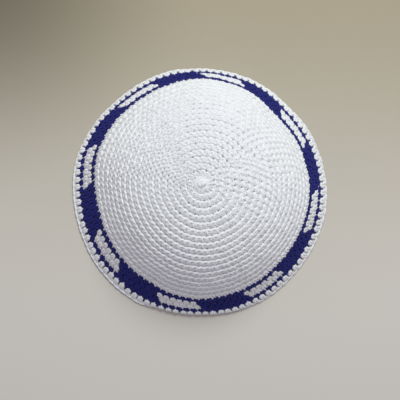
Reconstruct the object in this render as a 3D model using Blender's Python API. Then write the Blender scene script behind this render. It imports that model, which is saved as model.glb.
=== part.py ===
# A crocheted skullcap worked in rounds from the crown to the rim, lying rim down.
# Metres, +Z up, origin under the middle of the rim on the surface it rests on.

import math

import bmesh
import bpy

# Driving dimensions
RIM_DIAMETER = 0.1650
CAP_HEIGHT = 0.0520
CLOTH_THICKNESS = 0.0028
RIDGE_RELIEF = 0.0007
COLOUR_GAP = 0.0003
EDGE_ROPE_THICKNESS = 0.0026

# Rounds of crochet, counted from the starting knot
CROWN_ROUNDS = 20
BORDER_ROUNDS = 4
EDGING_ROUNDS = 1
ALL_ROUNDS = CROWN_ROUNDS + BORDER_ROUNDS + EDGING_ROUNDS

# Stitches round the border
REPEATS = 8
STITCHES_PER_REPEAT = 13
STITCHES = REPEATS * STITCHES_PER_REPEAT
FIRST_REPEAT_AZIMUTH = math.radians(-9.4)
STITCH_LEAN = 0.61

# The border's chart: border round, first white stitch of the repeat, white stitches
CHART = (
    {"round": 1, "first_white": 4, "whites": 6},
    {"round": 2, "first_white": 4, "whites": 6},
)

# Slope of the cloth along the way from the crown (0) to the rim (1)
SLOPES = (
    {"way": 0.00, "degrees": 0.0},
    {"way": 0.05, "degrees": 5.0},
    {"way": 0.16, "degrees": 10.0},
    {"way": 0.30, "degrees": 18.0},
    {"way": 0.43, "degrees": 30.0},
    {"way": 0.55, "degrees": 41.0},
    {"way": 0.67, "degrees": 50.0},
    {"way": 0.80, "degrees": 52.5},
    {"way": 0.92, "degrees": 50.0},
    {"way": 1.00, "degrees": 45.0},
)

# How the soft cloth strays from a true round, by azimuth clockwise from the back, as shares of
# the rim's radius: wall is at the wall's middle height, rim at the rim
STRAYS = (
    {"azimuth": 0, "wall": 0.022, "rim": 0.002},
    {"azimuth": 22, "wall": 0.012, "rim": -0.002},
    {"azimuth": 47, "wall": -0.036, "rim": -0.006},
    {"azimuth": 68, "wall": -0.008, "rim": 0.006},
    {"azimuth": 92, "wall": 0.010, "rim": 0.014},
    {"azimuth": 125, "wall": 0.001, "rim": 0.001},
    {"azimuth": 170, "wall": 0.006, "rim": -0.003},
    {"azimuth": 208, "wall": -0.006, "rim": 0.010},
    {"azimuth": 232, "wall": -0.018, "rim": 0.008},
    {"azimuth": 260, "wall": -0.026, "rim": -0.008},
    {"azimuth": 290, "wall": 0.014, "rim": 0.004},
    {"azimuth": 328, "wall": 0.002, "rim": -0.004},
)

# Fineness of the meshes
CROWN_SEGMENTS = 52
INNER_RINGS = 9
PROFILE_STEPS = 400

# Colour, roughness
WHITE_COTTON = ((0.80, 0.80, 0.78, 1.0), 0.9)
NAVY_COTTON = ((0.018, 0.020, 0.11, 1.0), 0.85)


def between(rows, key, value, at):
    """The table's value at a place between two of its rows."""
    for low, high in zip(rows, rows[1:]):
        if at <= high[key]:
            share = (at - low[key]) / (high[key] - low[key])
            return low[value] + share * (high[value] - low[value])
    return rows[-1][value]


def crown_to_rim():
    """Radius and height of the outer face at equal steps of the way from the crown to the rim."""
    radius, drop, places = 0.0, 0.0, [(0.0, 0.0)]
    for step in range(PROFILE_STEPS):
        slope = math.radians(between(SLOPES, "way", "degrees", (step + 0.5) / PROFILE_STEPS))
        radius += math.cos(slope)
        drop += math.sin(slope)
        places.append((radius, drop))
    wide, high = RIM_DIAMETER / 2 / radius, CAP_HEIGHT / drop
    return [(r * wide, CAP_HEIGHT - d * high) for r, d in places]


PROFILE = crown_to_rim()
ROUND_HEIGHT = math.fsum(math.dist(a, b) for a, b in zip(PROFILE, PROFILE[1:])) / ALL_ROUNDS
STITCH_WIDTH = math.pi * RIM_DIAMETER / STITCHES


def on_profile(rounds, depth=0.0):
    """Radius and height after so many rounds, at a depth below the outer face."""
    step = min(max(rounds / ALL_ROUNDS, 0.0), 1.0) * PROFILE_STEPS
    low = min(int(step), PROFILE_STEPS - 1)
    (r0, z0), (r1, z1) = PROFILE[low], PROFILE[low + 1]
    share = step - low
    length = math.dist((r0, z0), (r1, z1))
    out_r, out_z = (z0 - z1) / length, (r1 - r0) / length
    radius = r0 + share * (r1 - r0) - depth * out_r
    return max(radius, 0.0), z0 + share * (z1 - z0) - depth * out_z


def ridge(rounds):
    """1 on a round's ridge, 0 in the groove between two rounds."""
    return abs(math.sin(math.pi * rounds))


def smooth_stray(azimuth, column):
    """A value of the strays table, eased between its rows all the way round."""
    degrees = math.degrees(azimuth) % 360
    rows = STRAYS + ({**STRAYS[0], "azimuth": 360},)
    for low, high in zip(rows, rows[1:]):
        if degrees <= high["azimuth"]:
            share = (degrees - low["azimuth"]) / (high["azimuth"] - low["azimuth"])
            eased = (1 - math.cos(math.pi * share)) / 2
            return low[column] + eased * (high[column] - low[column])
    return 0.0


def settle(bm):
    """Lets a true round lie as the soft cap lies, with its dents and bulges."""
    for vertex in bm.verts:
        height = min(max(vertex.co.z / CAP_HEIGHT, 0.0), 1.0)
        azimuth = math.atan2(vertex.co.x, vertex.co.y)
        on_wall = math.sin(math.pi * height) ** 2
        near_rim = (1 - height) ** 3
        stray = smooth_stray(azimuth, "wall") * on_wall + smooth_stray(azimuth, "rim") * near_rim
        vertex.co.x *= 1 + stray
        vertex.co.y *= 1 + stray


def turned(outline, segments):
    """A closed outline of (radius, height) places turned round the cap's axis."""
    bm = bmesh.new()
    corners = [bm.verts.new((0.0, radius, height)) for radius, height in outline]
    for corner, following in zip(corners, corners[1:] + corners[:1]):
        if corner.co.y > 0 or following.co.y > 0:
            bm.edges.new((corner, following))
    bmesh.ops.spin(
        bm,
        geom=bm.verts[:] + bm.edges[:],
        cent=(0, 0, 0),
        axis=(0, 0, 1),
        angle=2 * math.pi,
        steps=segments,
        use_merge=True,
    )
    return bm


def crown_outline():
    """Outer face with a ridge for each round, then the plain inner face back to the axis."""
    last = CROWN_ROUNDS - COLOUR_GAP / 2 / ROUND_HEIGHT
    outer = [(0.0, CAP_HEIGHT)]
    for half in range(1, 2 * CROWN_ROUNDS):
        outer.append(on_profile(half / 2, RIDGE_RELIEF * (1 - ridge(half / 2))))
    outer.append(on_profile(last, RIDGE_RELIEF))
    rings = [last * (1 - ring / INNER_RINGS) for ring in range(INNER_RINGS)]
    inner = [on_profile(ring, CLOTH_THICKNESS) for ring in rings]
    return outer + inner + [(0.0, CAP_HEIGHT - CLOTH_THICKNESS)]


def edging_outline():
    """The last round, the rope along the rim and the flat underside the cap rests on."""
    first = CROWN_ROUNDS + BORDER_ROUNDS + COLOUR_GAP / 2 / ROUND_HEIGHT
    rope_share = min(EDGE_ROPE_THICKNESS / ROUND_HEIGHT, EDGING_ROUNDS)
    groove = ALL_ROUNDS - rope_share
    rim = RIM_DIAMETER / 2
    rope = EDGE_ROPE_THICKNESS / 2
    outer = [
        on_profile(first, RIDGE_RELIEF),
        on_profile((first + groove) / 2),
        on_profile(groove, RIDGE_RELIEF),
    ]
    for turn in (60, 25, -10):
        angle = math.radians(turn)
        outer.append((rim - rope + rope * math.cos(angle), rope + rope * math.sin(angle)))
    outer.append((rim - rope, 0.0))
    top_r, top_z = on_profile(first, CLOTH_THICKNESS)
    foot_r, foot_z = on_profile(ALL_ROUNDS, CLOTH_THICKNESS)
    foot_r = top_r + (foot_r - top_r) * top_z / (top_z - foot_z)
    return outer + [(foot_r, 0.0), (top_r, top_z)]


def flat_border():
    """The border laid out flat: x along the rounds, y down them, two cells high to a stitch."""
    bm = bmesh.new()
    bmesh.ops.create_grid(bm, x_segments=STITCHES, y_segments=2 * BORDER_ROUNDS, size=0.5)
    for vertex in bm.verts:
        vertex.co.x = (vertex.co.x + 0.5) * STITCHES * STITCH_WIDTH
        vertex.co.y = (vertex.co.y + 0.5) * BORDER_ROUNDS * ROUND_HEIGHT
    return bm


def white_repeat(face):
    """The repeat that a flat face's white stitch belongs to, or None where the stitch is navy."""
    middle = face.calc_center_median()
    row = int(middle.y // ROUND_HEIGHT)
    stitch = int(middle.x // STITCH_WIDTH)
    for line in CHART:
        place = (stitch - line["first_white"]) % STITCHES
        if line["round"] == row and place % STITCHES_PER_REPEAT < line["whites"]:
            return place // STITCHES_PER_REPEAT
    return None


def thicken(bm):
    """Gives flat cloth its two faces: z is 0 on the inner one and 1 on the outer one."""
    raised = bmesh.ops.extrude_face_region(bm, geom=bm.faces[:], use_keep_orig=True)
    corners = [item for item in raised["geom"] if isinstance(item, bmesh.types.BMVert)]
    bmesh.ops.translate(bm, verts=corners, vec=(0, 0, 1))


def open_ends(bm):
    """Takes off the walls at the strip's two ends, where it will join into a ring."""
    length = STITCHES * STITCH_WIDTH
    ends = []
    for face in bm.faces:
        xs = [vertex.co.x for vertex in face.verts]
        if max(xs) < STITCH_WIDTH / 4 or min(xs) > length - STITCH_WIDTH / 4:
            ends.append(face)
    bmesh.ops.delete(bm, geom=ends, context="FACES_ONLY")


def wrap(bm):
    """Bends flat cloth round the cap, from the border's first round down."""
    for vertex in bm.verts:
        rounds = vertex.co.y / ROUND_HEIGHT
        stitch = vertex.co.x / STITCH_WIDTH - STITCH_LEAN * rounds
        azimuth = FIRST_REPEAT_AZIMUTH + 2 * math.pi * stitch / STITCHES
        relief = RIDGE_RELIEF * (1 - ridge(rounds))
        depth = relief if vertex.co.z > 0.5 else CLOTH_THICKNESS
        radius, height = on_profile(CROWN_ROUNDS + rounds, depth)
        vertex.co = (radius * math.sin(azimuth), radius * math.cos(azimuth), height)


def trim_round_edges(bm):
    """Draws the border's first and last line of corners back by half the gap."""
    last = BORDER_ROUNDS * ROUND_HEIGHT
    for vertex in bm.verts:
        vertex.co.y = min(max(vertex.co.y, COLOUR_GAP / 2), last - COLOUR_GAP / 2)


def border_cloth():
    """The navy rounds, with a gap through them wherever the chart is white."""
    bm = flat_border()
    whites = [face for face in bm.faces if white_repeat(face) is not None]
    bmesh.ops.delete(bm, geom=whites, context="FACES")
    thicken(bm)
    open_ends(bm)
    trim_round_edges(bm)
    wrap(bm)
    return bm


def lozenge_cloth(repeat):
    """The white stitches of one repeat, clear of the navy round them."""
    bm = flat_border()
    others = [face for face in bm.faces if white_repeat(face) != repeat]
    bmesh.ops.delete(bm, geom=others, context="FACES")
    rim = bmesh.ops.inset_region(
        bm,
        faces=bm.faces[:],
        thickness=COLOUR_GAP,
        use_boundary=True,
        use_even_offset=True,
    )
    bmesh.ops.delete(bm, geom=rim["faces"], context="FACES")
    thicken(bm)
    wrap(bm)
    return bm


def cotton(name, look):
    colour, roughness = look
    material = bpy.data.materials.new(name)
    material.use_nodes = True
    shader = material.node_tree.nodes["Principled BSDF"]
    shader.inputs["Base Color"].default_value = colour
    shader.inputs["Roughness"].default_value = roughness
    shader.inputs["Metallic"].default_value = 0.0
    material.diffuse_color = colour
    return material


def add_piece(name, bm, material, holder, collection):
    """Settles a piece, closes it and puts it on the cap."""
    settle(bm)
    bmesh.ops.remove_doubles(bm, verts=bm.verts[:], dist=1e-6)
    bmesh.ops.recalc_face_normals(bm, faces=bm.faces[:])
    mesh = bpy.data.meshes.new(name)
    bm.to_mesh(mesh)
    bm.free()
    mesh.materials.append(material)
    mesh.shade_smooth()
    mesh.set_sharp_from_angle(angle=math.radians(40))
    piece = bpy.data.objects.new(name, mesh)
    collection.objects.link(piece)
    piece.parent = holder
    return piece


def clear_scene():
    for item in list(bpy.data.objects):
        bpy.data.objects.remove(item, do_unlink=True)


def middle_of(piece):
    """The middle of a piece's outline from above."""
    xs = [vertex.co.x for vertex in piece.data.vertices]
    ys = [vertex.co.y for vertex in piece.data.vertices]
    return (min(xs) + max(xs)) / 2, (min(ys) + max(ys)) / 2


def build_cap():
    clear_scene()
    collection = bpy.data.collections.new("kippah")
    bpy.context.scene.collection.children.link(collection)
    holder = bpy.data.objects.new("kippah_origin", None)
    collection.objects.link(holder)
    white = cotton("white_cotton", WHITE_COTTON)
    navy = cotton("navy_cotton", NAVY_COTTON)

    add_piece("crown", turned(crown_outline(), CROWN_SEGMENTS), white, holder, collection)
    add_piece("border_band", border_cloth(), navy, holder, collection)
    for repeat in range(REPEATS):
        add_piece(f"white_lozenge_{repeat + 1}", lozenge_cloth(repeat), white, holder, collection)
    edging = add_piece("edging", turned(edging_outline(), STITCHES), white, holder, collection)

    middle_x, middle_y = middle_of(edging)
    holder.location = (-middle_x, -middle_y, 0.0)


build_cap()
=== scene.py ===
import math
import random

import bpy
import numpy as np
from mathutils import Matrix, Vector


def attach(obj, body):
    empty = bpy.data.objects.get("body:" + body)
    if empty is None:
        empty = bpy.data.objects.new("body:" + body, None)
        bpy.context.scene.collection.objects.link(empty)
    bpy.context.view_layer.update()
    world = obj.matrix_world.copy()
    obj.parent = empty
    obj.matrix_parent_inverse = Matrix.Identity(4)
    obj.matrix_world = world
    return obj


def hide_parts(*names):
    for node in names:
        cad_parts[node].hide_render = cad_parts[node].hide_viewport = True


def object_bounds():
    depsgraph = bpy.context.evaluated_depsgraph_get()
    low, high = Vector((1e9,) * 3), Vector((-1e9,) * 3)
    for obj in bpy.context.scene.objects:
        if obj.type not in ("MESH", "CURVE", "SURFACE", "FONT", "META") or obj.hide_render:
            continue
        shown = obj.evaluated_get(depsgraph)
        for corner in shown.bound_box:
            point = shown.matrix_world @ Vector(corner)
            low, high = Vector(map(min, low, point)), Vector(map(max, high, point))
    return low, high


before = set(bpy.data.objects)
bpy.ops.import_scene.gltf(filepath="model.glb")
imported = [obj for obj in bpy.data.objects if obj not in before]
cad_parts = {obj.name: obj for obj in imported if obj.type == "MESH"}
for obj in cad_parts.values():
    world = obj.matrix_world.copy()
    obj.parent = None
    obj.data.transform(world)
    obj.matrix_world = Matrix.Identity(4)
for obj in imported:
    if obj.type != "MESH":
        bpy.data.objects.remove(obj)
cadLow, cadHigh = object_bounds()
print("cap frame loaded:", len(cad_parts), "solids")

# The cap's own form, as the solids have it
capForm = {
    "rimDiameter": 0.165,
    "height": cadHigh.z - cadLow.z,
    "crownRounds": 20,
    "borderRounds": 4,
    "edgingRounds": 1,
    # way from crown to rim, slope of the cloth in degrees
    "slopes": [
        (0.00, 0), (0.05, 5), (0.16, 10), (0.30, 18), (0.43, 30),
        (0.55, 41), (0.67, 50), (0.80, 52.5), (0.92, 50), (1.00, 45),
    ],
    # azimuth clockwise from the back, stray at the wall, stray at the rim, in shares of the radius
    "strays": [
        (0, 0.022, 0.002), (22, 0.012, -0.002), (47, -0.036, -0.006), (68, -0.008, 0.006),
        (92, 0.010, 0.014), (125, 0.001, 0.001), (170, 0.006, -0.003), (208, -0.006, 0.010),
        (232, -0.018, 0.008), (260, -0.026, -0.008), (290, 0.014, 0.004), (328, 0.002, -0.004),
    ],
    "profileSteps": 2000,
    "pastRim": 0.06,  # how far the profile runs on past the rim, for the rope
    "innermost": 0.02,  # in rounds, the closest that anything comes to the middle
    "settling": 22,  # from this round on, the cloth comes down to the table
    "tableSoftness": 0.00015,  # how gently the rim lies down on the table
}
allRounds = capForm["crownRounds"] + capForm["borderRounds"] + capForm["edgingRounds"]


# Radius and height of the outer face, by rounds from the crown
def capProfile():
    steps = int(capForm["profileSteps"] * (1 + capForm["pastRim"]))
    ways = (np.arange(steps) + 0.5) / capForm["profileSteps"]
    slopes = np.radians(np.interp(ways, *np.array(capForm["slopes"], float).T))
    across = np.concatenate([[0], np.cumsum(np.cos(slopes))])
    drop = np.concatenate([[0], np.cumsum(np.sin(slopes))])
    atRim = capForm["profileSteps"]
    radius = across * capForm["rimDiameter"] / 2 / across[atRim]
    height = capForm["height"] * (1 - drop / drop[atRim])
    rounds = np.arange(steps + 1) / capForm["profileSteps"] * allRounds
    return rounds, radius, height


profileRounds, profileRadius, profileHeight = capProfile()
runs = np.hypot(np.diff(profileRadius), np.diff(profileHeight))
roundHeight = runs[: capForm["profileSteps"]].sum() / allRounds
normalOut = np.gradient(profileRadius)
normalAcross = -np.gradient(profileHeight)
normalLength = np.hypot(normalOut, normalAcross)


def radiusAt(rounds):
    return np.interp(rounds, profileRounds, profileRadius)


# Eases round the cap between the rows of a table, whose first column is the azimuth
def aroundCap(table, azimuth, column):
    rows = table + [(360,) + table[0][1:]]
    degrees = np.degrees(azimuth) % 360
    places = np.array([row[0] for row in rows], float)
    values = np.array([row[column] for row in rows])
    low = np.clip(np.searchsorted(places, degrees, side="right") - 1, 0, len(rows) - 2)
    share = (degrees - places[low]) / (places[low + 1] - places[low])
    eased = (1 - np.cos(np.pi * share)) / 2
    return values[low] + eased * (values[low + 1] - values[low])


# The dents and bulges of the soft cloth
def strayAt(azimuth, column):
    return aroundCap(capForm["strays"], azimuth, column)


def settled(points):
    height = np.clip(points[..., 2] / capForm["height"], 0, 1)
    azimuth = np.arctan2(points[..., 0], points[..., 1])
    onWall = np.sin(np.pi * height) ** 2
    nearRim = (1 - height) ** 3
    stray = 1 + strayAt(azimuth, 1) * onWall + strayAt(azimuth, 2) * nearRim
    return points * np.stack([stray, stray, np.ones_like(stray)], axis=-1)


def rimMiddle():
    azimuth = np.linspace(0, 2 * np.pi, 721)
    rim = capForm["rimDiameter"] / 2
    ring = np.stack([rim * np.sin(azimuth), rim * np.cos(azimuth), azimuth * 0], axis=-1)
    ring = settled(ring)
    return (ring.max(axis=0) + ring.min(axis=0)) / 2


capMiddle = rimMiddle()

# Hand work wanders: the rounds run out in one spiral, and each lies a little in or out of its place
wander = {
    "phase": math.radians(290),  # where a round would change over, were its start not drifting
    "startAside": 0.0016,  # the start lies this far to the left of the middle
    "asideRounds": 10,  # over which the rounds come back to the middle
    "spiralFrom": 2,
    "fullSpiral": 17,
    "noSpiral": 20,
    "rounds": (0, 8, 12, 16, 20, 24, 25),
    # azimuth, then how far out of place at each of those rounds, in rounds
    "rows": [
        (0, 0, 0.09, -0.02, -0.10, 0.88, -0.26, -0.44), (30, 0, 0.24, 0.23, 0.40, 0.47, 0.00, -0.12),
        (45, 0, 0.15, 0.41, 0.54, 0.33, -0.26, -0.19), (60, 0, 0.11, 0.23, 0.38, 0.20, -0.27, 0.08),
        (75, 0, 0.07, -0.03, 0.09, 0.06, -0.20, 0.07), (105, 0, -0.10, -0.17, -0.18, -0.20, -0.07, 0.19),
        (135, 0, 0.09, -0.43, -0.39, -0.27, -0.07, 0.00), (150, 0, -0.04, -0.12, -0.25, 0.00, 0.15, 0.11),
        (165, 0, 0.14, 0.06, 0.04, 0.26, 0.32, -0.16), (180, 0, 0.23, 0.16, 0.38, 0.49, 0.09, -0.70),
        (195, 0, 0.22, 0.19, 0.27, 0.19, 0.10, -1.10), (210, 0, 0.09, 0.04, -0.22, -0.54, 0.04, 0.18),
        (240, 0, 0.04, -0.24, -0.32, -0.51, -0.06, 0.08), (270, 0, 0.04, -0.08, -0.24, -0.24, 0.22, 0.41),
        (285, 0, -0.05, -0.33, -0.55, 0.14, 0.55, 0.35), (300, 0, -0.06, -0.12, -0.42, 0.35, 0.15, -0.08),
        (315, 0, 0.00, 0.06, 0.11, 0.37, -0.28, -0.39), (345, 0, 0.05, 0.02, 0.00, 0.64, -0.07, -0.17),
    ],
}


def wanderAt(rounds, azimuth):
    columns = [aroundCap(wander["rows"], azimuth, column + 1) for column in range(len(wander["rounds"]))]
    drift = 0
    for low in range(len(wander["rounds"]) - 1):
        start, end = wander["rounds"][low], wander["rounds"][low + 1]
        share = np.clip((rounds - start) / (end - start), 0, 1)
        drift = drift + (columns[low + 1] - columns[low]) * share
    return drift


# One round runs on into the next, so its end lies a whole round further in than its start
def spiralAt(rounds, roundNumber, places):
    start = (turnOf(roundNumber) - wander["phase"] + math.pi) % (2 * math.pi) - math.pi
    turned = (np.array(places)[:, None] + 0.5) / stitchCount(roundNumber)
    fading = (wander["noSpiral"] - rounds) / (wander["noSpiral"] - wander["fullSpiral"])
    reach = 0.5 - turned - start / (2 * math.pi)
    return reach * np.clip(fading, 0, 1) * np.clip(rounds / wander["spiralFrom"], 0, 1)


# Flat work laid on the cap: rounds from the crown, azimuth, sideways reach and lift off the face
def onCap(rounds, azimuth, sideways, lift, astray=0.0):
    innermost, settling = capForm["innermost"], capForm["settling"]
    moved = np.maximum(rounds + astray, innermost)
    toTable = np.clip((rounds - settling) / (allRounds - settling), 0, 1)
    heightRounds = np.maximum(rounds + astray * (1 - toTable), innermost)  # the rim stays down
    out = np.interp(moved, profileRounds, normalAcross / normalLength)
    up = np.interp(moved, profileRounds, normalOut / normalLength)
    radius = radiusAt(moved) + lift * out
    height = np.interp(heightRounds, profileRounds, profileHeight) + lift * up
    across, along = np.sin(azimuth), np.cos(azimuth)
    points = np.stack(
        [radius * across + sideways * along, radius * along - sideways * across, height],
        axis=-1,
    )
    placed = settled(points) - capMiddle
    placed[..., 0] -= wander["startAside"] * np.clip(1 - rounds / wander["asideRounds"], 0, 1)
    softness = capForm["tableSoftness"]
    placed[..., 2] = softness * np.logaddexp(0, placed[..., 2] / softness)  # nothing sinks in
    return placed


# One stitch of single crochet, seen from the right side: crown below, rim above.
# Paths are in millimetres: sideways, towards the rim, out of the cloth from its outer face.
stitch = {
    "width": 0.0040,
    "lean": 0.61,  # stitch widths from the foot of a stitch to its top, against the clock
    "straight": 0.2,  # the foot stands upright and the lean comes after it
    "held": 0.5,  # how far a stitch keeps to the one below where a round has more of them
    "apart": 0.2,  # how far two stitches in one hole move apart, in stitch widths
    "narrowest": 0.5,
    "widest": 1.3,
    "filling": 0.5,  # thickness of the yarn that crosses behind, as a share of the stitch's own
}

# A crown stitch sits on the round before it like a shingle, with a broad foot
crownStitch = {
    "yarn": 0.0024,
    "legs": [
        (0.0, -0.6, -0.85), (1.4, -0.65, -0.85), (2.4, -0.3, -0.9), (1.6, 0.8, -0.9),
        (1.3, 1.6, -1.05), (1.3, 2.3, -1.4), (1.5, 3.2, -2.0), (1.5, 4.2, -2.7),
        (0.0, 4.8, -3.4), (-1.5, 4.2, -2.7), (-1.5, 3.2, -2.0), (-1.3, 2.3, -1.4),
        (-1.3, 1.6, -1.05), (-1.6, 0.8, -0.9), (-2.4, -0.3, -0.9), (-1.4, -0.65, -0.85),
    ],
    "filling": [
        (2.2, 0.7, -0.45), (0.0, 0.7, -0.45), (-2.2, 0.7, -0.45), (-2.2, 1.8, -0.65),
        (0.0, 1.8, -0.65), (2.2, 1.8, -0.65),
    ],
}

# In the last white round the tops of the stitches reach out over the border
turningStitch = {
    "yarn": 0.0023,
    "legs": [
        (0.0, -0.6, -0.8), (1.1, -0.6, -0.8), (1.65, -0.2, -0.8), (1.05, 0.8, -0.75),
        (0.9, 1.6, -0.8), (1.1, 2.4, -0.95), (1.5, 3.3, -1.2), (1.9, 4.2, -1.3),
        (1.9, 4.8, -1.8), (0.0, 4.8, -3.2), (-1.9, 4.8, -1.8), (-1.9, 4.2, -1.3),
        (-1.5, 3.3, -1.2), (-1.1, 2.4, -0.95), (-0.9, 1.6, -0.8), (-1.05, 0.8, -0.75),
        (-1.65, -0.2, -0.8), (-1.1, -0.6, -0.8),
    ],
    "filling": [
        (2.2, 0.9, -0.5), (0.0, 0.9, -0.5), (-2.2, 0.9, -0.5), (-2.2, 2.4, -0.8),
        (0.0, 2.4, -0.8), (2.2, 2.4, -0.8),
    ],
}

# A border stitch comes up between the stitches of the round before it, with a round foot
borderStitch = {
    "yarn": 0.0021,
    "legs": [
        (0.0, -1.6, -0.85), (0.5, -1.5, -0.8), (0.85, -0.8, -0.6), (0.75, 0.1, -0.5),
        (0.75, 1.1, -0.6), (1.0, 2.1, -0.9), (1.4, 3.2, -1.2), (1.9, 4.2, -1.3),
        (1.9, 4.8, -1.8), (0.9, 4.6, -2.8), (-0.9, 4.6, -2.8), (-1.9, 4.8, -1.8),
        (-1.9, 4.2, -1.3), (-1.4, 3.2, -1.2), (-1.0, 2.1, -0.9), (-0.75, 1.1, -0.6),
        (-0.75, 0.1, -0.5), (-0.85, -0.8, -0.6), (-0.5, -1.5, -0.8),
    ],
    "filling": [
        (2.2, 1.6, -0.65), (0.0, 1.2, -0.5), (-2.2, 1.6, -0.65), (-2.2, 2.9, -0.85),
        (0.0, 2.9, -0.85), (2.2, 2.9, -0.85),
    ],
}

# A stitch of the edging is a fat round bump, with the navy round showing between it and the next
edgingStitch = {
    "yarn": 0.0020,
    "legs": [
        (0.0, -2.2, -0.6), (0.4, -2.2, -0.5), (0.7, -1.5, -0.2), (0.65, -0.4, 0.0),
        (0.65, 0.8, -0.05), (0.8, 2.0, -0.4), (1.2, 3.0, -1.1), (0.8, 3.5, -2.0),
        (-0.8, 3.5, -2.0), (-1.2, 3.0, -1.1), (-0.8, 2.0, -0.4), (-0.65, 0.8, -0.05),
        (-0.65, -0.4, 0.0), (-0.7, -1.5, -0.2), (-0.4, -2.2, -0.5),
    ],
    "filling": [
        (2.2, 1.9, -0.7), (0.0, 0.2, -0.1), (-2.2, 1.9, -0.7), (-2.2, 3.2, -1.1),
        (0.0, 3.0, -1.0), (2.2, 3.2, -1.1),
    ],
}

# No two stitches are quite alike
jitter = {
    "shift": 0.00011,
    "lift": 0.00007,
    "turn": 3.0,  # degrees
    "size": 0.03,
    "most": 2,  # times the values above
    "seed": 11,
}


def deselectAll():
    for thing in bpy.context.selected_objects:
        thing.select_set(False)


def pick(thing):
    deselectAll()
    thing.select_set(True)
    bpy.context.view_layer.objects.active = thing


# A closed loop of yarn through a few given points
def yarnLoop(name, path, thickness, roundness, fineness):
    deselectAll()
    bpy.ops.curve.primitive_nurbs_circle_add(radius=0.001)
    loop = bpy.context.object
    loop.name = name
    line = loop.data.splines[0]
    line.use_bezier_u = False
    line.points.add(len(path) - len(line.points))
    for point, place in zip(line.points, path):
        point.co = (*(value / 1000 for value in place), 1)
    line.order_u = 4
    line.use_cyclic_u = True
    loop.data.resolution_u = fineness
    loop.data.bevel_depth = thickness / 2
    loop.data.bevel_resolution = roundness
    bpy.ops.object.convert(target="MESH")
    return bpy.context.object


def joined(rows, name):
    deselectAll()
    for row in rows:
        row.select_set(True)
    bpy.context.view_layer.objects.active = rows[0]
    bpy.ops.object.join()
    whole = bpy.context.object
    whole.name = name
    whole.data.shade_smooth()
    return whole


def makeStitch(shape, name):
    legs = yarnLoop(name, shape["legs"], shape["yarn"], 1, 1)
    thin = shape["yarn"] * stitch["filling"]
    filling = yarnLoop(name + "Filling", shape["filling"], thin, 1, 1)
    whole = joined([legs, filling], name)
    print(name, "made:", len(whole.data.polygons), "faces")
    return whole


# Each kind of stitch is modelled once, and copied for every round
sources = {
    "crown": makeStitch(crownStitch, "CrownStitch"),
    "turning": makeStitch(turningStitch, "TurningStitch"),
    "border": makeStitch(borderStitch, "BorderStitch"),
    "edging": makeStitch(edgingStitch, "EdgingStitch"),
}


# Copies of a stitch side by side, still flat
def rowOf(source, copies, name):
    row = source.copy()
    row.data = source.data.copy()
    row.name = name
    bpy.context.scene.collection.objects.link(row)
    pick(row)
    side = row.modifiers.new("Side by side", "ARRAY")
    side.count = copies
    side.use_relative_offset = False
    side.use_constant_offset = True
    side.constant_offset_displace = (stitch["width"], 0, 0)
    bpy.ops.object.modifier_apply(modifier=side.name)
    return row


# The points of a row, with each stitch measured from its own middle
def flatPoints(row, copies):
    flat = np.empty(len(row.data.vertices) * 3)
    row.data.vertices.foreach_get("co", flat)
    flat = flat.reshape(copies, -1, 3)
    flat[:, :, 0] -= np.arange(copies)[:, None] * stitch["width"]
    return flat


# Moves the points of a row to their places, and notes how pale each stitch is
def setPoints(row, placed, paleness):
    mesh = row.data
    mesh.vertices.foreach_set("co", placed.reshape(-1))
    shade = mesh.attributes.new("shade", "FLOAT", "POINT")
    perPoint = np.repeat(paleness, placed.shape[1])
    shade.data.foreach_set("value", perPoint.astype(np.float32))
    mesh.update()


# The border's small chart: a repeat goes eight times round
borderChart = {
    "stitches": 104,
    "repeat": 13,
    "firstAzimuth": math.radians(-9.4),
    "whites": {22: (2, 6), 23: (1, 6)},  # round: first white stitch of the repeat, white stitches
}


# How many stitches each round has, and where each one starts and ends
def stitchCount(roundNumber):
    around = 2 * math.pi * float(radiusAt(roundNumber))
    return min(borderChart["stitches"], max(6, round(around / stitch["width"])))


def turnOf(roundNumber):
    crownRounds = capForm["crownRounds"]
    if roundNumber >= crownRounds:
        drift = (roundNumber - crownRounds) / borderChart["stitches"]
    else:
        passed = range(roundNumber + 1, crownRounds + 1)
        drift = -sum(1 / stitchCount(each) for each in passed)
    # a round starts one stitch on from where its first stitch leans to, so the spiral has no gap
    return borderChart["firstAzimuth"] + 2 * math.pi * (1 - stitch["lean"]) * drift


def topAzimuths(roundNumber):
    count = stitchCount(roundNumber)
    return turnOf(roundNumber) + 2 * math.pi * (np.arange(count) + 0.5) / count


def baseAzimuths(roundNumber):
    tops = topAzimuths(roundNumber)
    wanted = tops + 2 * math.pi * stitch["lean"] / len(tops)
    if roundNumber == 1:
        return wanted
    below = topAzimuths(roundNumber - 1)
    pitch = 2 * math.pi / len(below)
    held = np.round((wanted - below[0]) / pitch)
    bases = below[0] + held * pitch
    shared = np.append(held[1:] == held[:-1], False)
    bases[shared] -= stitch["apart"] * pitch
    bases[np.roll(shared, 1)] += stitch["apart"] * pitch
    return wanted + stitch["held"] * (bases - wanted)


chance = random.Random(jitter["seed"])


def nudges(copies):
    rows = [[chance.gauss(0, 1) for _ in range(5)] for _ in range(copies)]
    return np.clip(np.array(rows), -jitter["most"], jitter["most"])


# Each stitch is shifted, turned and swollen a little about its own middle
def loosened(flat, nudge):
    turn = np.radians(jitter["turn"]) * nudge[:, 3:4]
    size = 1 + jitter["size"] * nudge[:, 4:5]
    middle = roundHeight / 2
    x = flat[:, :, 0] * size
    y = (flat[:, :, 1] - middle) * size
    sideways = x * np.cos(turn) - y * np.sin(turn) + jitter["shift"] * nudge[:, 0:1]
    outward = x * np.sin(turn) + y * np.cos(turn) + jitter["shift"] * nudge[:, 1:2] + middle
    lift = flat[:, :, 2] + jitter["lift"] * nudge[:, 2:3]
    return sideways, outward, lift


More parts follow.
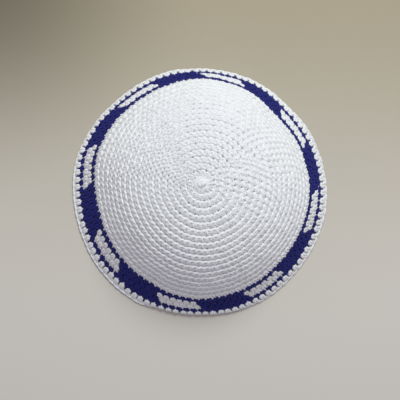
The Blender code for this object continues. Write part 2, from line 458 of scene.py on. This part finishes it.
# Bends a flat row round the cap
def workRound(source, roundNumber, places, name):
    row = rowOf(source, len(places), name)
    flat = flatPoints(row, len(places))
    nudge = nudges(len(places))
    sideways, outward, lift = loosened(flat, nudge)
    share = outward / roundHeight
    rounds = np.maximum(roundNumber - 1 + share, capForm["innermost"])
    start = baseAzimuths(roundNumber)[places][:, None]
    end = topAzimuths(roundNumber)[places][:, None]
    leaning = np.clip((share - stitch["straight"]) / (1 - stitch["straight"]), 0, 1)
    azimuth = start + (end - start) * leaning
    astray = wanderAt(rounds, (start + end) / 2) + spiralAt(rounds, roundNumber, places)
    pitch = 2 * np.pi * radiusAt(rounds + astray) / stitchCount(roundNumber)
    spread = np.clip(pitch / stitch["width"], stitch["narrowest"], stitch["widest"])
    setPoints(row, onCap(rounds, azimuth, sideways * spread, lift, astray), nudge[:, 4])
    return row


# Cotton: twisted plies, loose fibres and a soft sheen, with shade painted into the colour between the
# plies
cottons = {
    "white": {
        "colour": (0.845, 0.865, 0.885),
        # painted shade: a darker colour for the grooves between the plies
        "plyGrooveShade": (0.76, 0.775, 0.80),  # between the plies
        "sheen": 0.2,
    },
    "navy": {
        "colour": (0.013, 0.017, 0.175),
        # painted shade: a darker colour for the grooves between the plies
        "plyGrooveShade": (0.008, 0.010, 0.110),
        "sheen": 0.04,
    },
}
twist = {
    "plies": 3,
    "turns": 5,
    "depth": 0.00010,
    "fibre": 2600,
    "fibreDetail": 3,
    "fibreDepth": 0.00005,
    # the colour is darkened by painted shade between the plies, and less so on top of them
    "groove": 0.35,  # share of the full colour between the plies
    "crest": 0.95,  # and on top of them
    "perStitch": 0.10,  # how much one stitch differs from the next
    "roughness": 0.85,
    "sheenRoughness": 0.4,
    "shine": 0.25,
}


def mathNode(tree, operation, *values):
    node = tree.nodes.new("ShaderNodeMath")
    node.operation = operation
    for socket, value in zip(node.inputs, values):
        if isinstance(value, bpy.types.NodeSocket):
            tree.links.new(value, socket)
        else:
            socket.default_value = value
    return node.outputs[0]


def mixedColour(tree, first, second, share):
    mix = tree.nodes.new("ShaderNodeMix")
    mix.data_type = "RGBA"
    mix.inputs["A"].default_value = (*first, 1)
    mix.inputs["B"].default_value = (*second, 1)
    tree.links.new(share, mix.inputs["Factor"])
    return mix.outputs["Result"]


def bumped(tree, height, depth):
    bump = tree.nodes.new("ShaderNodeBump")
    bump.inputs["Distance"].default_value = depth
    tree.links.new(height, bump.inputs["Height"])
    return bump


# How high a place on the yarn lies, from its way along and around the yarn
def plyHeight(tree, place):
    split = tree.nodes.new("ShaderNodeSeparateXYZ")
    tree.links.new(place.outputs["UV"], split.inputs[0])
    waves = math.pi * twist["plies"]
    along = mathNode(tree, "MULTIPLY", split.outputs["X"], waves * twist["turns"])
    around = mathNode(tree, "MULTIPLY_ADD", split.outputs["Y"], waves, along)
    return mathNode(tree, "ABSOLUTE", mathNode(tree, "SINE", around))


def yarnRelief(tree, place, ply):
    fibre = tree.nodes.new("ShaderNodeTexNoise")
    fibre.inputs["Scale"].default_value = twist["fibre"]
    fibre.inputs["Detail"].default_value = twist["fibreDetail"]
    tree.links.new(place.outputs["Object"], fibre.inputs["Vector"])
    fibreBump = bumped(tree, fibre.outputs["Fac"], twist["fibreDepth"])
    plyBump = bumped(tree, ply, twist["depth"])
    tree.links.new(fibreBump.outputs[0], plyBump.inputs["Normal"])
    return plyBump.outputs[0]


# Painted shade darkens the colour towards the grooves between the plies, and each stitch also gets a
# random tone of its own
def yarnColour(tree, look, ply):
    shade = tree.nodes.new("ShaderNodeAttribute")
    shade.attribute_name = "shade"
    strength = tree.nodes.new("ShaderNodeMapRange")
    strength.inputs["To Min"].default_value = twist["groove"]
    strength.inputs["To Max"].default_value = twist["crest"]
    tree.links.new(ply, strength.inputs["Value"])
    share = mathNode(
        tree, "MULTIPLY_ADD", shade.outputs["Fac"], twist["perStitch"], strength.outputs["Result"]
    )
    return mixedColour(tree, look["plyGrooveShade"], look["colour"], share)


def cottonMaterial(name, look):
    material = bpy.data.materials.new(name)
    material.use_nodes = True
    tree = material.node_tree
    shader = tree.nodes["Principled BSDF"]
    shader.inputs["Roughness"].default_value = twist["roughness"]
    shader.inputs["Sheen Weight"].default_value = look["sheen"]
    shader.inputs["Sheen Roughness"].default_value = twist["sheenRoughness"]
    shader.inputs["Specular IOR Level"].default_value = twist["shine"]
    place = tree.nodes.new("ShaderNodeTexCoord")
    ply = plyHeight(tree, place)
    tree.links.new(yarnRelief(tree, place, ply), shader.inputs["Normal"])
    tree.links.new(yarnColour(tree, look, ply), shader.inputs["Base Color"])
    return material


whiteCotton = cottonMaterial("White cotton", cottons["white"])
navyCotton = cottonMaterial("Navy cotton", cottons["navy"])
print("cotton dyed")


def finishPiece(piece, material, slot, *nodes):
    piece.data.materials.clear()
    piece.data.materials.append(material)
    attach(piece, "root")
    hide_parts(*nodes)


# The white crown, in three pieces with their first and last rounds
crownPieces = {
    "crown_middle_rounds": (1, 11),
    "crown_shoulder_rounds": (12, 16),
    "crown_outer_rounds": (17, 20),
}


def crownPart(name, first, last):
    rows = []
    for roundNumber in range(first, last + 1):
        places = list(range(stitchCount(roundNumber)))
        kind = "crown" if roundNumber < capForm["crownRounds"] else "turning"
        rows.append(workRound(sources[kind], roundNumber, places, f"round {roundNumber}"))
    part = joined(rows, name)
    finishPiece(part, whiteCotton, "white_cotton", "crown")
    print(name, "worked:", len(part.data.polygons), "faces")


for name, (first, last) in crownPieces.items():
    crownPart(name, first, last)

# The yarn is started in a small knot
knot = {
    "ring": [
        (3.7, 0.0, -1.1), (2.6, 2.6, -1.1), (0.0, 3.7, -1.1), (-2.6, 2.6, -1.1),
        (-3.7, 0.0, -1.1), (-2.6, -2.6, -1.1), (0.0, -3.7, -1.1), (2.6, -2.6, -1.1),
    ],
    "middle": [
        (2.3, 0.3, -0.6), (0.7, 2.1, -0.4), (-1.7, 1.2, -0.6), (-1.7, -1.3, -0.4),
        (0.5, -1.9, -0.3), (0.4, -0.1, 0.0),
    ],
    "yarn": 0.0029,
}


def startKnot():
    ring = yarnLoop("KnotRing", knot["ring"], knot["yarn"], 2, 2)
    middle = yarnLoop("KnotMiddle", knot["middle"], knot["yarn"], 2, 2)
    whole = joined([ring, middle], "starting_knot")
    for vertex in whole.data.vertices:
        vertex.co += Vector((-wander["startAside"], 0, capForm["height"])) - Vector(capMiddle)
    finishPiece(whole, whiteCotton, "white_cotton", "crown")


startKnot()
print("yarn started")


# The border: navy, with white where the chart says so
def isWhite(roundNumber, place):
    if roundNumber not in borderChart["whites"]:
        return False
    first, whites = borderChart["whites"][roundNumber]
    return (place - first) % borderChart["repeat"] < whites


def borderPart(white, repeat, name, slot, material, *nodes):
    rows = []
    firstRound = capForm["crownRounds"] + 1
    for roundNumber in range(firstRound, firstRound + capForm["borderRounds"]):
        places = [
            place for place in range(borderChart["stitches"])
            if isWhite(roundNumber, place) == white
            and (repeat is None or place // borderChart["repeat"] == repeat)
        ]
        if places:
            rows.append(workRound(sources["border"], roundNumber, places, f"round {roundNumber}"))
    part = joined(rows, name)
    finishPiece(part, material, slot, *nodes)


borderPart(False, None, "navy_border", "navy_cotton", navyCotton, "border_band")
for repeat in range(borderChart["stitches"] // borderChart["repeat"]):
    node = f"white_lozenge_{repeat + 1}"
    borderPart(True, repeat, f"lozenge_{repeat + 1}", "white_cotton", whiteCotton, node)
print("border worked")


# The edging: one white round, and the rope-like chain outside it
def makeEdging():
    places = list(range(borderChart["stitches"]))
    row = workRound(sources["edging"], allRounds, places, f"round {allRounds}")
    finishPiece(joined([row], "white_edging"), whiteCotton, "white_cotton", "edging")


# The chain that closes the rim looks like a rope of overlapping links
rope = {
    "link": [
        (-3.0, 0.0, -0.25), (-1.2, 0.12, 0.1), (1.0, 0.15, 0.2), (3.0, 0.0, -0.05),
        (1.2, -0.15, -0.2), (-1.2, -0.12, -0.3),
    ],
    "yarn": 0.0013,
    "rounds": 24.66,
    "height": 0.00105,
    "turnShift": 0.002,  # radians
    "outShift": 0.0001,
}


def ropePoints(flat, nudge):
    middle = (topAzimuths(allRounds) + rope["turnShift"] * nudge[:, 0])[:, None]
    azimuth = middle + flat[:, :, 0] / radiusAt(rope["rounds"])
    radius = radiusAt(rope["rounds"] + wanderAt(allRounds, azimuth))
    radius = radius + flat[:, :, 1] + rope["outShift"] * nudge[:, 1:2]
    height = rope["height"] + flat[:, :, 2]
    points = np.stack([radius * np.sin(azimuth), radius * np.cos(azimuth), height], axis=-1)
    placed = settled(points) - capMiddle
    placed[..., 2] = np.maximum(placed[..., 2], 0)
    return placed


def makeRope():
    link = yarnLoop("RopeLink", rope["link"], rope["yarn"], 1, 2)
    count = borderChart["stitches"]
    links = rowOf(link, count, "edge_rope")
    bpy.data.objects.remove(link)
    flat = flatPoints(links, count)
    nudge = nudges(count)
    setPoints(links, ropePoints(flat, nudge), nudge[:, 4])
    links.data.shade_smooth()
    finishPiece(links, whiteCotton, "white_cotton", "edging")


makeEdging()
makeRope()
print("edging worked")
for source in sources.values():
    bpy.data.objects.remove(source)

# The table is pale and darker towards the back, with painted shade darkening it further towards its far
# left corner
table = {
    "near": (0.63, 0.605, 0.55),
    "far": (0.36, 0.315, 0.215),
    "nearEnds": -0.10,
    "farStarts": 0.16,
    # the far left corner, where the painted shade is deepest, how much of the colour it leaves there, and
    # how far it reaches
    "corner": (-0.150, 0.150, 0),
    "cornerShadeTone": 0.38,
    "cornerShadeReach": 0.16,
    "roughness": 0.8,
    "size": 3.0,
}


def smoothRange(tree, value, start, end, lowest):
    smooth = tree.nodes.new("ShaderNodeMapRange")
    smooth.interpolation_type = "SMOOTHSTEP"
    smooth.inputs["From Min"].default_value = start
    smooth.inputs["From Max"].default_value = end
    smooth.inputs["To Min"].default_value = lowest
    tree.links.new(value, smooth.inputs["Value"])
    return smooth.outputs["Result"]


def tableColour(tree):
    place = tree.nodes.new("ShaderNodeTexCoord")
    split = tree.nodes.new("ShaderNodeSeparateXYZ")
    tree.links.new(place.outputs["Object"], split.inputs[0])
    farness = smoothRange(tree, split.outputs["Y"], table["nearEnds"], table["farStarts"], 0)
    # Painted shade: the colour is dimmed towards the far left corner
    away = tree.nodes.new("ShaderNodeVectorMath")
    away.operation = "DISTANCE"
    away.inputs[1].default_value = table["corner"]
    tree.links.new(place.outputs["Object"], away.inputs[0])
    cornerShade = smoothRange(tree, away.outputs["Value"], 0, table["cornerShadeReach"], table["cornerShadeTone"])
    dimmed = tree.nodes.new("ShaderNodeVectorMath")
    dimmed.operation = "SCALE"
    tree.links.new(mixedColour(tree, table["near"], table["far"], farness), dimmed.inputs[0])
    tree.links.new(cornerShade, dimmed.inputs["Scale"])
    return dimmed.outputs[0]


def makeTable():
    deselectAll()
    bpy.ops.mesh.primitive_plane_add(size=table["size"])
    top = bpy.context.object
    top.name = "table"
    material = bpy.data.materials.new("Table")
    material.use_nodes = True
    shader = material.node_tree.nodes["Principled BSDF"]
    shader.inputs["Roughness"].default_value = table["roughness"]
    material.node_tree.links.new(tableColour(material.node_tree), shader.inputs["Base Color"])
    top.data.materials.append(material)


# Soft light from one window, and the pale room around
window = {
    "place": (0.149, 0.597, 0.788),
    "size": 0.6,
    "power": 7.7,
    "colour": (0.955, 1.0, 0.955),
}
room = {
    "colour": (1.0, 0.935, 1.05),
    "strength": 0.38,
}


def makeWindow():
    lamp = bpy.data.lights.new("Window", "AREA")
    lamp.shape = "DISK"
    lamp.size = window["size"]
    lamp.energy = window["power"]
    lamp.color = window["colour"]
    holder = bpy.data.objects.new("Window", lamp)
    holder.location = window["place"]
    holder.rotation_euler = (-Vector(window["place"])).to_track_quat("-Z", "Y").to_euler()
    bpy.context.scene.collection.objects.link(holder)


def makeRoom():
    world = bpy.data.worlds.new("Room")
    world.use_nodes = True
    background = world.node_tree.nodes["Background"]
    background.inputs["Color"].default_value = (*room["colour"], 1)
    background.inputs["Strength"].default_value = room["strength"]
    bpy.context.scene.world = world


makeTable()
makeRoom()
makeWindow()
print("table and light set")

# Seen almost straight from above, from a little towards the front left
photo = {
    "pixel": 0.000657,  # of the table, in metres
    "distance": 700,  # in pixels
    "width": 400,
    "aim": (201.45, 190.45),
    "tilt": 5.37,  # degrees off the vertical
    "azimuth": 210.2,  # clockwise from the back
    "sensor": 36,
}


def makeCamera():
    pixel, half = photo["pixel"], photo["width"] / 2
    tilt, azimuth = math.radians(photo["tilt"]), math.radians(photo["azimuth"])
    low = math.sin(tilt)
    away = Vector((low * math.sin(azimuth), low * math.cos(azimuth), math.cos(tilt)))
    aim = Vector((half - photo["aim"][0], photo["aim"][1] - half, 0)) * pixel
    view = bpy.data.cameras.new("Camera")
    view.sensor_width = photo["sensor"]
    view.lens = photo["sensor"] * photo["distance"] / photo["width"]
    camera = bpy.data.objects.new("Camera", view)
    camera.location = away * photo["distance"] * pixel
    back = (camera.location - aim).normalized()
    right = Vector((0, 1, 0)).cross(back).normalized()
    up = back.cross(right)
    camera.rotation_euler = Matrix((right, up, back)).transposed().to_euler()
    bpy.context.scene.collection.objects.link(camera)
    bpy.context.scene.camera = camera


makeCamera()
bpy.context.scene.view_settings.view_transform = "Standard"

print("cap finished")
